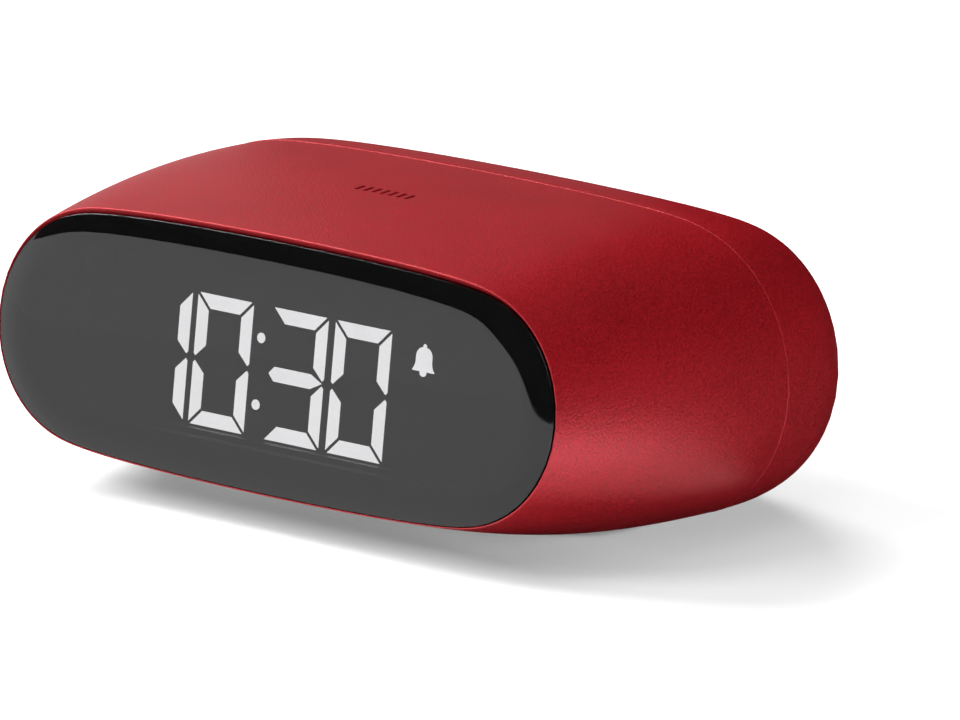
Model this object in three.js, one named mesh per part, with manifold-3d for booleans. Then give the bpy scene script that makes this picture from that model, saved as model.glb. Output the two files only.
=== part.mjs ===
// Pebble-shaped travel alarm clock, in millimetres.
//
// While the clock is drawn, the middle of the window's front face is the origin: +X is to the
// viewer's right, +Y goes back into the clock and +Z is up. The last lines move everything so
// that the clock stands on Z = 0 with the origin under its middle.

import * as THREE from 'three';
import { mergeVertices } from 'three/addons/utils/BufferGeometryUtils.js';
import Module from 'manifold-3d';

const wasm = await Module();
wasm.setup();

// ---------------------------------------------------------------- driving dimensions

const FACE_TILT = THREE.MathUtils.degToRad(7.7);
const WALL = 1.8;
const GAP = 0.15;

// The window's oval.
const LENS = { halfWidth: 45, upper: 15.7, lower: 15.7, upperCrown: 1.4, lowerCrown: 1.4 };
const LENS_THICKNESS = 1.8;

// The body's oval at its front rim and at the seam between the two shells.
const RIM = { halfWidth: 45.9, upper: 16.6, lower: 16.2, upperCrown: 1.4, lowerCrown: 1.4 };
const SEAM = { halfWidth: 50.8, upper: 20.2, lower: 21.3, upperCrown: 1.3, lowerCrown: 3.2 };
const SEAM_DEPTH = 38.5;
const SEAM_DROP = 2.35;
const SEAM_TILT = THREE.MathUtils.degToRad(2.9);
// How much the sides, top and bottom bulge between rim and seam.
const BULGE = { side: 0.81, upper: 1.33, lower: 0.95 };

// The rounded back behind the seam.
const BACK_DEPTH = 20.9;
const BACK_POWER = 3.5;
const BACK_DROP = 0.8;
const BACK_SWELL = { side: 0.018, upper: -0.109, lower: -0.07 };

// The flat underside and the plate let into it.
const BASE_Z = -20.2;
const PLATE = { halfWidth: 33.5, front: 20, back: 48.5, corner: 10, thickness: 1.8 };
// A rubber strip under the front and two round feet further back.
const STRIP = { halfWidth: 12, halfDepth: 1.4, y: 17.8 };
const FOOT = { radius: 3.0, proud: 0.7, height: 1.3, x: 28.6, y: 37.8 };
const SCREW_FRONT = { x: 28.6, y: 27.0 };
const SCREW_BACK = { x: 28.6, y: 43.5 };

// Two AAA cells lie side by side under the middle of the clock.
const CELL = { radius: 5.2, length: 44.5, nubRadius: 1.9, nubLength: 1.0 };
const BAY = { halfLength: 23.6, front: 22.85, back: 45.05, ceiling: -7.2, wall: 1.2 };
const CELL_Z = -13.2;
const CELL_Y = [28.4, 39.5];
const DOOR = { halfWidth: 23.7, front: 23.0, back: 44.9, thickness: 1.6 };

// The display stack, as depths behind the window's front face.
const WINDOW = { halfWidth: 33, halfHeight: 10.8 };
const FRAME = { halfWidth: 34.2, halfHeight: 12.6, front: 4.5, back: 11.2 };
const PCB = { halfWidth: 40.6, halfHeight: 12.8, front: 11.5, back: 12.7, screwX: 37.4 };

// The controls in the hollow on the back.
const HOLLOW = { halfWidth: 22.5, halfHeight: 5, z: -2.8, floor: 56.8 };
const KEYS = { x: [-13, -3, 7], radius: 3.0, travel: 0.8 };
const SWITCH = { x: 17.5, throw: 3 };
const KEY_PCB = { halfWidth: 27, halfHeight: 4.6, front: 51.4, back: 52.4, screwX: 24.5 };
const BUZZER = { x: -36, z: -3, radius: 6, front: 45, back: 50.5 };

// A row of shallow bars marks the touch area on top.
const TOUCH = { y: 21.7, bars: 7, pitch: 1.35, barLength: 0.6, barWidth: 1.9, depth: 0.3 };

// ---------------------------------------------------------------- materials

function surface(color, roughness, metalness) {
  return new THREE.MeshStandardMaterial({ color, roughness, metalness });
}

const RED = surface(0x9a1c28, 0.5, 0);
const SMOKE = surface(0x1c1c1e, 0.08, 0);
const BLACK = surface(0x17171a, 0.55, 0);
const WHITE = surface(0xe9e9e4, 0.5, 0);
const GLASS = surface(0x8f9a90, 0.1, 0);
const RUBBER = surface(0x24211f, 0.85, 0);
const BOARD = surface(0x1f5a3a, 0.6, 0);
const STEEL = surface(0xb8babd, 0.35, 0.9);
const BRASS = surface(0xb98d3d, 0.35, 0.9);
const CELL_SKIN = surface(0x31506e, 0.4, 0.2);

// ---------------------------------------------------------------- solids

// Turns a closed geometry into a solid that can be cut and joined.
function solid(geometry) {
  const plain = geometry.index ? geometry.toNonIndexed() : geometry.clone();
  plain.deleteAttribute('normal');
  plain.deleteAttribute('uv');
  const merged = mergeVertices(plain, 1e-5);
  return new wasm.Manifold(new wasm.Mesh({
    numProp: 3,
    vertProperties: new Float32Array(merged.attributes.position.array),
    triVerts: new Uint32Array(merged.index.array),
  }));
}

function join(first, ...others) {
  return others.reduce((whole, other) => whole.add(other), first);
}

function cut(first, ...others) {
  return others.reduce((whole, other) => whole.subtract(other), first);
}

// Turns a solid back into a geometry.
function shape(body) {
  const mesh = body.getMesh();
  const geometry = new THREE.BufferGeometry();
  geometry.setAttribute('position', new THREE.BufferAttribute(new Float32Array(mesh.vertProperties), 3));
  geometry.setIndex(new THREE.BufferAttribute(new Uint32Array(mesh.triVerts), 1));
  geometry.computeVertexNormals();
  return geometry;
}

// A box given by its two far corners.
function block(x0, x1, y0, y1, z0, z1) {
  const geometry = new THREE.BoxGeometry(x1 - x0, y1 - y0, z1 - z0);
  return geometry.translate((x0 + x1) / 2, (y0 + y1) / 2, (z0 + z1) / 2);
}

function roundedRectangle(halfWidth, halfHeight, radius) {
  const outline = new THREE.Shape();
  const x = halfWidth - radius;
  const y = halfHeight - radius;
  outline.absarc(x, y, radius, 0, Math.PI / 2);
  outline.absarc(-x, y, radius, Math.PI / 2, Math.PI);
  outline.absarc(-x, -y, radius, Math.PI, Math.PI * 1.5);
  outline.absarc(x, -y, radius, Math.PI * 1.5, Math.PI * 2);
  return outline;
}

// A flat piece with its outline in the XY plane, between two heights.
function levelPlate(outline, z0, z1, segments = 5) {
  const geometry = new THREE.ExtrudeGeometry(outline, {
    depth: z1 - z0, bevelEnabled: false, curveSegments: segments,
  });
  return geometry.translate(0, 0, z0);
}

// A flat piece with its outline in the XZ plane, between two depths.
function uprightPlate(outline, y0, y1, segments = 5) {
  const geometry = new THREE.ExtrudeGeometry(outline, {
    depth: y1 - y0, bevelEnabled: false, curveSegments: segments,
  });
  return geometry.rotateX(Math.PI / 2).translate(0, y1, 0);
}

// A round piece about the vertical line through (x, y); the profile lists [radius, height].
function turnedUp(profile, x, y, segments = 14) {
  const points = profile.map(([radius, height]) => new THREE.Vector2(radius, height));
  const geometry = new THREE.LatheGeometry(points, segments);
  return geometry.rotateX(Math.PI / 2).translate(x, y, 0);
}

// A round piece about a line that runs front to back; the profile lists [radius, depth].
function turnedBack(profile, x, z, segments = 14) {
  const points = profile.map(([radius, depth]) => new THREE.Vector2(radius, depth));
  return new THREE.LatheGeometry(points, segments).translate(x, 0, z);
}

// A plain round bar between two ends, as a profile for the two functions above.
function bar(radius, start, end) {
  return [[0, start], [radius, start], [radius, end], [0, end]];
}

// ---------------------------------------------------------------- the oval and the body's skin

// Directions, in degrees from the sideways axis, at which the oval is sampled in one quarter.
const QUARTER = [0, 13, 26, 39, 52, 65, 76, 83, 86.5, 88.7];

function ovalDirections() {
  const falling = QUARTER.slice(1).reverse().map((angle) => 180 - angle);
  const upper = [...QUARTER, 90, ...falling, 180];
  const lower = upper.slice(1, -1).map((angle) => angle + 180);
  return [...upper, ...lower].map((angle) => THREE.MathUtils.degToRad(angle));
}

const DIRECTIONS = ovalDirections();

// The oval is a flat ellipse, widened all round by a constant radius. Each point is where the
// oval's outward direction is the given angle, so an inset moves it straight inwards.
function ovalPoint(oval, inset, angle) {
  const above = Math.sin(angle) >= 0;
  const height = above ? oval.upper : oval.lower;
  const crown = above ? oval.upperCrown : oval.lowerCrown;
  const radius = height - crown;
  const reach = oval.halfWidth - radius;
  const cos = Math.cos(angle);
  const sin = Math.sin(angle);
  const across = Math.hypot(reach * cos, crown * sin);
  const turn = (crown * crown - reach * reach) * cos * sin / across;
  const out = across + radius - inset;
  return new THREE.Vector2(out * cos - turn * sin, out * sin + turn * cos);
}

function ovalShape(oval, inset) {
  return new THREE.Shape(DIRECTIONS.map((angle) => ovalPoint(oval, inset, angle)));
}

// One section of the skin: the oval stood up, leaned back by tilt and moved to (y, z).
function section(oval, inset, tilt, y, z) {
  return DIRECTIONS.map((angle) => {
    const point = ovalPoint(oval, inset, angle);
    return new THREE.Vector3(point.x, y + point.y * Math.sin(tilt), z + point.y * Math.cos(tilt));
  });
}

// Grows from 0 at the rim to 1 at the seam, with a bulge on the way.
function grow(along, bulge) {
  return along + bulge * along * (1 - along);
}

// The skin of the front shell; along is 0 at the rim and 1 at the seam.
function frontSection(along, inset) {
  const mix = THREE.MathUtils.lerp;
  const oval = {
    halfWidth: mix(RIM.halfWidth, SEAM.halfWidth, grow(along, BULGE.side)),
    upper: mix(RIM.upper, SEAM.upper, grow(along, BULGE.upper)),
    lower: mix(RIM.lower, SEAM.lower, grow(along, BULGE.lower)),
    upperCrown: mix(RIM.upperCrown, SEAM.upperCrown, along),
    lowerCrown: mix(RIM.lowerCrown, SEAM.lowerCrown, along),
  };
  const tilt = mix(FACE_TILT, SEAM_TILT, along);
  return section(oval, inset, tilt, SEAM_DEPTH * along, -SEAM_DROP * along);
}

// The skin of the back shell; along is 0 at the seam and 1 at the rearmost point.
function backSection(along, inset) {
  const shrink = (1 - along ** BACK_POWER) ** (1 / BACK_POWER);
  const oval = {
    halfWidth: (SEAM.halfWidth - inset) * (1 + BACK_SWELL.side * along) * shrink,
    upper: (SEAM.upper - inset) * (1 + BACK_SWELL.upper * along) * shrink,
    lower: (SEAM.lower - inset) * (1 + BACK_SWELL.lower * along) * shrink,
    upperCrown: SEAM.upperCrown * shrink,
    lowerCrown: SEAM.lowerCrown * shrink,
  };
  const y = SEAM_DEPTH + (BACK_DEPTH - inset) * along * Math.cos(SEAM_TILT);
  return section(oval, 0, SEAM_TILT, y, -SEAM_DROP - BACK_DROP * along);
}

// A section parallel to the window, at a depth behind its front face.
function faceSection(oval, inset, depth) {
  return section(oval, inset, FACE_TILT, depth * Math.cos(FACE_TILT), -depth * Math.sin(FACE_TILT));
}

function moved(ring, y) {
  return ring.map((point) => new THREE.Vector3(point.x, point.y + y, point.z));
}

// A closed skin through sections that run from front to back.
function loft(rings) {
  const count = DIRECTIONS.length;
  const positions = [];
  const index = [];
  rings.forEach((ring) => ring.forEach((point) => positions.push(point.x, point.y, point.z)));
  for (let i = 0; i + 1 < rings.length; i += 1) {
    for (let j = 0; j < count; j += 1) {
      const next = (j + 1) % count;
      const [a, b] = [i * count + j, i * count + next];
      const [c, d] = [(i + 1) * count + next, (i + 1) * count + j];
      index.push(a, d, c, a, c, b);
    }
  }
  // The sections are convex, so each end closes with a fan about its first point.
  const last = (rings.length - 1) * count;
  for (let j = 1; j + 1 < count; j += 1) {
    index.push(0, j, j + 1, last, last + j + 1, last + j);
  }
  const geometry = new THREE.BufferGeometry();
  geometry.setAttribute('position', new THREE.Float32BufferAttribute(positions, 3));
  geometry.setIndex(index);
  return geometry;
}

function steps(start, end, count) {
  return Array.from({ length: count + 1 }, (_, i) => start + ((end - start) * i) / count);
}

// Everything above a height.
function above(z) {
  return solid(block(-80, 80, -40, 100, z, 60));
}

// The outer skin behind the seam, closed at the rearmost point.
function backRings(inset, start) {
  const turns = [9, 20, 33, 47, 61, 74, 84].map((angle) => THREE.MathUtils.degToRad(angle));
  const along = turns.map((angle) => Math.sin(angle) ** (2 / BACK_POWER));
  return [start, ...along.filter((value) => value > start + 0.05)].map((value) => backSection(value, inset));
}

function wholeSkin() {
  const front = [faceSection(RIM, 0.3, 0.2), faceSection(RIM, 0.05, 0.55)];
  const middle = [0.04, ...steps(0.16, 1, 7)].map((along) => frontSection(along, 0));
  return solid(loft([...front, ...middle, ...backRings(0, 0).slice(1)]));
}

const SKIN = wholeSkin().intersect(above(BASE_Z));

// Everything in front of the seam, less half of the seam's gap, and everything behind it.
function besideSeam(sign) {
  const far = new THREE.BoxGeometry(160, 90, 160).translate(0, sign * (45 + GAP), 0);
  return solid(far.rotateX(-SEAM_TILT).translate(0, SEAM_DEPTH, -SEAM_DROP));
}

const PLATE_MIDDLE = (PLATE.front + PLATE.back) / 2;

function plateOutline(clearance) {
  const halfDepth = (PLATE.back - PLATE.front) / 2;
  return roundedRectangle(PLATE.halfWidth + clearance, halfDepth + clearance, PLATE.corner + clearance);
}

// The hole that the base plate fills, carried up through the lip above it.
function plateHole() {
  const hole = levelPlate(plateOutline(0.25), BASE_Z - 5, -15.5, 6).translate(0, PLATE_MIDDLE, 0);
  return solid(hole);
}

// A screw post above the base plate, with a rib that ties it to the side wall.
function post(side, place, bottom, top) {
  const tube = turnedUp(bar(2.8, bottom, top), side * place.x, place.y, 16);
  const ends = [side * place.x, side * 50].sort((a, b) => a - b);
  const rib = block(ends[0], ends[1], place.y - 0.8, place.y + 0.8, bottom, bottom + 5);
  return join(solid(tube), solid(rib)).intersect(SKIN);
}

function pilot(side, place) {
  return solid(turnedUp(bar(1.15, -17.5, -9.6), side * place.x, place.y, 10));
}

// ---------------------------------------------------------------- shells

function mainHousing() {
  const cavityRings = [0.098, ...steps(0.2, 1, 6)].map((along) => frontSection(along, WALL));
  const cavity = solid(loft([...cavityRings, moved(cavityRings.at(-1), 2)]));
  const shell = cut(SKIN.intersect(besideSeam(-1)), cavity.intersect(above(BASE_Z + WALL)));

  const seat = solid(loft([faceSection(LENS, -GAP, -3), faceSection(LENS, -GAP, 2.3)]));
  const windowOutline = roundedRectangle(WINDOW.halfWidth, WINDOW.halfHeight, 2);
  const window = solid(uprightPlate(windowOutline, -1, 6, 3).rotateX(-FACE_TILT));

  const boardPosts = [-1, 1].map((side) => {
    const tube = turnedBack(bar(2.4, 3.2, 11.3), side * PCB.screwX, 0, 14);
    return solid(tube.rotateX(-FACE_TILT));
  });
  const boardPilots = [-1, 1].map((side) => {
    const hole = turnedBack(bar(1.05, 5.5, 12), side * PCB.screwX, 0, 10);
    return solid(hole.rotateX(-FACE_TILT));
  });

  const basePosts = [-1, 1].map((side) => post(side, SCREW_FRONT, -16.6, -8));
  const basePilots = [-1, 1].map((side) => pilot(side, SCREW_FRONT));
  const stripSeat = solid(levelPlate(stripOutline(0.2), BASE_Z - 5, BASE_Z + 0.7, 4).translate(0, STRIP.y, 0));
  const whole = join(shell, ...boardPosts, ...basePosts);
  const cuts = [seat, window, ...boardPilots, plateHole(), ...basePilots, stripSeat, ...touchMarks()];
  return shape(cut(whole, ...cuts));
}

// A short row of shallow bars sunk into the top where a touch shows the light or snoozes.
function touchMarks() {
  const marks = [];
  for (let i = 0; i < TOUCH.bars; i += 1) {
    const x = (i - (TOUCH.bars - 1) / 2) * TOUCH.pitch;
    const halfX = TOUCH.barLength / 2;
    const halfY = TOUCH.barWidth / 2;
    const top = 18.35;
    marks.push(solid(block(x - halfX, x + halfX, TOUCH.y - halfY, TOUCH.y + halfY, top - TOUCH.depth, top + 2)));
  }
  return marks;
}

function rearCover() {
  const outside = SKIN.intersect(besideSeam(1));
  const lipOuter = [0.945, 0.97, 1].map((along) => frontSection(along, 2.1));
  const lip = solid(loft([...lipOuter, moved(lipOuter.at(-1), 1.2)])).intersect(above(BASE_Z + 2.1));

  const inner = 3.1;
  const throat = [0.92, 0.96, 1].map((along) => frontSection(along, inner));
  const throatSolid = solid(loft([...throat, moved(throat.at(-1), 3)])).intersect(above(BASE_Z + inner));
  const room = solid(loft([backSection(0.09, WALL), ...backRings(WALL, 0).slice(1)])).intersect(above(BASE_Z + WALL));

  // A thick pad behind the controls, and the posts that carry their board.
  const padFront = HOLLOW.floor - WALL;
  const pad = solid(block(-27, 27, padFront, 64, HOLLOW.z - 7.6, HOLLOW.z + 7.6)).intersect(SKIN);
  const boardPosts = [-1, 1].map((side) => {
    return solid(turnedBack(bar(2.2, KEY_PCB.back + 0.2, padFront + 0.5), side * KEY_PCB.screwX, HOLLOW.z, 14));
  });
  const cup = cut(
    solid(turnedBack(bar(7.4, 46, 62), BUZZER.x, BUZZER.z, 20)).intersect(SKIN),
    solid(turnedBack(bar(6.3, 40, 51.0), BUZZER.x, BUZZER.z, 20)),
  );
  const cupHeart = solid(turnedBack(bar(5.4, 50, 54.5), BUZZER.x, BUZZER.z, 16));
  const basePosts = [-1, 1].map((side) => post(side, SCREW_BACK, -18.1, -8));

  const shell = cut(join(outside, lip), throatSolid, room);
  const whole = join(shell, pad, ...boardPosts, cut(cup, cupHeart), ...basePosts);

  const hollowOutline = roundedRectangle(HOLLOW.halfWidth, HOLLOW.halfHeight, 4.6);
  const hollow = solid(uprightPlate(hollowOutline, HOLLOW.floor, 70, 5).translate(0, 0, HOLLOW.z));
  const keyHoles = KEYS.x.map((x) => solid(turnedBack(bar(KEYS.radius + 0.25, 50, 62), x, HOLLOW.z, 20)));
  const slot = solid(block(SWITCH.x - 3.3, SWITCH.x + 3.3, 50, 62, HOLLOW.z - 1.8, HOLLOW.z + 1.8));
  const boardPilots = [-1, 1].map((side) => {
    return solid(turnedBack(bar(1.0, 52, padFront + 0.8), side * KEY_PCB.screwX, HOLLOW.z, 10));
  });
  const soundPlaces = [[0, 0], [2.4, 0], [-2.4, 0], [0, 2.4], [0, -2.4]];
  const soundHoles = soundPlaces.map(([x, z]) => {
    return solid(turnedBack(bar(0.7, 53, 70), BUZZER.x + x, BUZZER.z + z, 8));
  });
  const basePilots = [-1, 1].map((side) => pilot(side, SCREW_BACK));
  return shape(cut(whole, hollow, ...keyHoles, slot, ...boardPilots, ...soundHoles, plateHole(), ...basePilots));
}

// ---------------------------------------------------------------- window and display

// The window has flat faces and a rolled front edge.
function frontLens() {
  const edge = [[0.9, 0], [0.45, 0.1], [0.12, 0.42], [0, 0.9], [0, LENS_THICKNESS]];
  const rings = edge.map(([inset, depth]) => section(LENS, inset, 0, depth, 0));
  return loft(rings);
}

// Black tape that hides the shell behind the window and sticks the window to it.
function maskTape() {
  const outline = ovalShape(LENS, 0.6);
  outline.holes.push(roundedRectangle(WINDOW.halfWidth, WINDOW.halfHeight, 2));
  return uprightPlate(outline, 1.9, 2.2, 3);
}

function displayFrame() {
  const { halfWidth, halfHeight, front, back } = FRAME;
  const outside = solid(block(-halfWidth, halfWidth, front, back, -halfHeight, halfHeight));
  const room = solid(block(-32.4, 32.4, front + 1.2, back + 1, -11.8, 11.8));
  const opening = solid(block(-30, 30, front - 1, front + 2, -10.2, 10.2));
  return shape(cut(outside, room, opening));
}

function mainBoard() {
  const outline = roundedRectangle(PCB.halfWidth, PCB.halfHeight, 4);
  [-1, 1].forEach((side) => {
    const hole = new THREE.Path();
    hole.absarc(side * PCB.screwX, 0, 1.25, 0, Math.PI * 2);
    outline.holes.push(hole);
  });
  return uprightPlate(outline, PCB.front, PCB.back, 5);
}

// A pan-head screw that points away from its head, along a line from front to back.
function screwProfile(head, neck, tip, headRadius, shankRadius) {
  const down = Math.sign(tip - head);
  return [
    [0, head + down * 0.5],
    [0.7, head + down * 0.35],
    [0.8, head],
    [headRadius - 0.3, head],
    [headRadius, head + down * 0.4],
    [headRadius, neck],
    [shankRadius, neck],
    [shankRadius, tip - down * 0.7],
    [0, tip],
  ];
}

// Profiles must run from low to high for the surface to face outwards.
function rising(profile) {
  return profile[0][1] <= profile.at(-1)[1] ? profile : [...profile].reverse();
}

function boardScrew(side) {
  return turnedBack(rising(screwProfile(13.9, 12.8, 7, 1.9, 0.85)), side * PCB.screwX, 0, 12);
}

function globTop() {
  return turnedBack([[0, 12.8], [5, 12.8], [4.4, 13.7], [2.6, 14.4], [0, 14.7]], 9, 1, 14);
}

function quartzCrystal() {
  const can = new THREE.LatheGeometry(
    [[0, -3], [1, -3], [1, 2.7], [0.7, 3], [0, 3]].map(([r, h]) => new THREE.Vector2(r, h)), 12,
  );
  return can.rotateZ(Math.PI / 2).translate(-13, 13.9, 4);
}

function capacitor() {
  return turnedBack([[0, 12.8], [2.5, 12.8], [2.5, 17.2], [2.2, 17.6], [0, 17.6]], -25, -3, 14);
}

// ---------------------------------------------------------------- touch sensor

// A springy strip between the board and the touch plate, drawn by its side view.
function touchStrip() {
  const path = [[13.95, 6.2], [14.6, 10.7], [20.3, 14.2], [23.2, 14.9]];
  const thickness = 0.3;
  const lower = path.map(([y, z]) => new THREE.Vector2(y, z));
  const upper = path.map(([y, z], i) => {
    const before = path[Math.max(i - 1, 0)];
    const after = path[Math.min(i + 1, path.length - 1)];
    const along = new THREE.Vector2(after[0] - before[0], after[1] - before[1]).normalize();
    return new THREE.Vector2(y + along.y * thickness, z - along.x * thickness);
  });
  const outline = new THREE.Shape([...lower, ...upper.reverse()]);
  const strip = new THREE.ExtrudeGeometry(outline, { depth: 3, bevelEnabled: false });
  return strip.rotateX(Math.PI / 2).rotateZ(Math.PI / 2).translate(-1.5, 0, 0);
}

// ---------------------------------------------------------------- base, cells and door

function basePlate() {
  const bottom = BASE_Z;
  const top = BASE_Z + PLATE.thickness;
  const plate = solid(levelPlate(plateOutline(0), bottom, top, 6).translate(0, PLATE_MIDDLE, 0));
  const middle = (DOOR.front + DOOR.back) / 2;
  const doorHalf = (DOOR.back - DOOR.front) / 2;
  const doorOutline = roundedRectangle(DOOR.halfWidth + 0.25, doorHalf + 0.25, 2);
  const doorHole = solid(levelPlate(doorOutline, bottom - 1, top + 1, 3).translate(0, middle, 0));
  const cuts = [doorHole];
  [-1, 1].forEach((side) => {
    cuts.push(solid(turnedUp(bar(FOOT.radius + 0.2, bottom - 1, bottom + 0.7), side * FOOT.x, FOOT.y, 18)));
    [SCREW_FRONT, SCREW_BACK].forEach((place) => {
      cuts.push(solid(turnedUp(bar(1.25, bottom - 1, top + 1), side * place.x, place.y, 12)));
      cuts.push(solid(turnedUp(bar(2.25, bottom - 1, bottom + 1.2), side * place.x, place.y, 14)));
    });
  });
  return shape(cut(plate, ...cuts));
}

// An open-bottomed box over the cells, with an ear on each side under the screw posts.
function batteryTray() {
  const bottom = -18.1;
  const { halfLength, front, back, ceiling, wall } = BAY;
  const box = solid(block(-halfLength - wall, halfLength + wall, front - wall, back + wall, bottom, ceiling + wall));
  const ears = solid(block(-32.4, 32.4, SCREW_FRONT.y - 3, SCREW_FRONT.y + 3, bottom, bottom + 1.2));
  const room = solid(block(-halfLength, halfLength, front, back, bottom - 1, ceiling));
  const holes = [-1, 1].map((side) => {
    return solid(turnedUp(bar(1.25, bottom - 1, bottom + 3), side * SCREW_FRONT.x, SCREW_FRONT.y, 12));
  });
  return shape(cut(join(box, ears), room, ...holes));
}

function batteryDoor() {
  const bottom = BASE_Z;
  const top = BASE_Z + DOOR.thickness;
  const middle = (DOOR.front + DOOR.back) / 2;
  const outline = roundedRectangle(DOOR.halfWidth, (DOOR.back - DOOR.front) / 2, 1.8);
  const plate = solid(levelPlate(outline, bottom, top, 3).translate(0, middle, 0));
  const latch = solid(block(-4, 4, DOOR.back - 0.8, DOOR.back, top - 0.2, -16.4));
  const pegs = [-14, 14].map((x) => solid(block(x - 2, x + 2, DOOR.front, DOOR.front + 0.8, top - 0.2, -16.4)));
  const grip = solid(block(-5, 5, DOOR.back - 4.5, DOOR.back - 1.5, bottom - 1, bottom + 0.7));
  return shape(cut(join(plate, latch, ...pegs), grip));
}

// A cell along X; nub is the side, -1 or 1, that its raised end points to.
function cell(nub, y) {
  const body = CELL.length - CELL.nubLength;
  const profile = [
    [0, 0],
    [CELL.radius - 0.5, 0],
    [CELL.radius, 0.4],
    [CELL.radius, body - 0.4],
    [CELL.radius - 0.5, body],
    [CELL.nubRadius, body],
    [CELL.nubRadius, CELL.length],
    [0, CELL.length],
  ].map(([radius, height]) => new THREE.Vector2(radius, height));
  const geometry = new THREE.LatheGeometry(profile, 20);
  return geometry.rotateZ(-nub * Math.PI / 2).translate(-nub * 21.6, y, CELL_Z);
}

function contactPlate(side, y0, y1) {
  const x = side * 23.3;
  return block(x - 0.2, x + 0.2, y0, y1, -17.2, -9.2);
}

// A conical wire spring that presses on a cell's flat end.
class ConeCoil extends THREE.Curve {
  constructor(side, y) {
    super();
    this.side = side;
    this.y = y;
  }

  getPoint(t, target = new THREE.Vector3()) {
    const angle = t * Math.PI * 2 * 2.25;
    const radius = THREE.MathUtils.lerp(2.2, 3.8, t);
    const x = this.side * THREE.MathUtils.lerp(21.85, 22.85, t);
    return target.set(x, this.y + radius * Math.cos(angle), CELL_Z + radius * Math.sin(angle));
  }
}

function contactSpring(side, y) {
  const wire = new THREE.Shape();
  wire.absarc(0, 0, 0.2, 0, Math.PI * 2);
  return new THREE.ExtrudeGeometry(wire, {
    steps: 30, curveSegments: 3, bevelEnabled: false, extrudePath: new ConeCoil(side, y),
  });
}

function backFoot(side) {
  const bottom = BASE_Z - FOOT.proud;
  const top = bottom + FOOT.height;
  const profile = [[0, bottom], [FOOT.radius - 0.3, bottom], [FOOT.radius, bottom + 0.3], [FOOT.radius, top], [0, top]];
  return turnedUp(profile, side * FOOT.x, FOOT.y, 18);
}

function stripOutline(clearance) {
  const halfDepth = STRIP.halfDepth + clearance;
  return roundedRectangle(STRIP.halfWidth + clearance, halfDepth, halfDepth - 0.05);
}

function frontStrip() {
  const bottom = BASE_Z - FOOT.proud;
  return levelPlate(stripOutline(0), bottom, bottom + FOOT.height, 4).translate(0, STRIP.y, 0);
}

function baseScrew(side, place) {
  return turnedUp(rising(screwProfile(-20.1, -19.1, -10.2, 2.0, 0.95)), side * place.x, place.y, 12);
}

// ---------------------------------------------------------------- controls on the back

function keyCap(x) {
  const r = KEYS.radius;
  const floor = HOLLOW.floor;
  const profile = [
    [0, floor - 3.2], [1.2, floor - 3.2], [1.2, floor - 2.9], [r + 0.8, floor - 2.9],
    [r + 0.8, floor - 2.2], [r, floor - 2.2], [r, floor + 0.9], [r - 0.4, floor + 1.2],
    [r - 1.6, floor + 1.1], [0, floor + 1.0],
  ];
  return turnedBack(profile, x, HOLLOW.z, 18);
}

function keyDome(x) {
  const base = KEY_PCB.back + 0.1;
  return turnedBack([[0, base], [2.2, base], [1.4, base + 0.2], [0, base + 0.22]], x, HOLLOW.z, 12);
}

// The slide's knob has three finger grooves; at rest it stands at the alarm-on end of its slot.
function switchKnob() {
  const x = SWITCH.x - SWITCH.throw / 2;
  const root = HOLLOW.floor - 2.9;
  const top = HOLLOW.floor + 1.2;
  const stem = solid(block(x - 1.6, x + 1.6, root, top, HOLLOW.z - 1.5, HOLLOW.z + 1.5));
  const grooves = [-0.8, 0, 0.8].map((step) => {
    return solid(block(x + step - 0.2, x + step + 0.2, top - 0.3, top + 1, HOLLOW.z - 2, HOLLOW.z + 2));
  });
  return shape(cut(stem, ...grooves));
}

function keyBoard() {
  const outline = roundedRectangle(KEY_PCB.halfWidth, KEY_PCB.halfHeight, 1.5);
  [-1, 1].forEach((side) => {
    const hole = new THREE.Path();
    hole.absarc(side * KEY_PCB.screwX, 0, 1.2, 0, Math.PI * 2);
    outline.holes.push(hole);
  });
  return uprightPlate(outline, KEY_PCB.front, KEY_PCB.back, 4).translate(0, 0, HOLLOW.z);
}

function keyBoardScrew(side) {
  return turnedBack(rising(screwProfile(50.2, 51.3, 55.3, 1.8, 0.8)), side * KEY_PCB.screwX, HOLLOW.z, 12);
}

function buzzer() {
  const profile = [
    [0, BUZZER.front], [BUZZER.radius, BUZZER.front], [BUZZER.radius, BUZZER.back],
    [1.2, BUZZER.back], [1.2, BUZZER.back - 1], [0, BUZZER.back - 1],
  ];
  return turnedBack(profile, BUZZER.x, BUZZER.z, 20);
}

// ---------------------------------------------------------------- the clock

const clock = new THREE.Group();
const body = new THREE.Group();
// The window and the display stack lean back together.
const face = new THREE.Group();
face.rotation.x = -FACE_TILT;
body.add(face);
clock.add(body);

function add(parent, name, geometry, material) {
  const mesh = new THREE.Mesh(geometry, material);
  mesh.name = name;
  parent.add(mesh);
}

add(body, 'main_housing', mainHousing(), RED);
add(body, 'rear_cover', rearCover(), RED);

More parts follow.
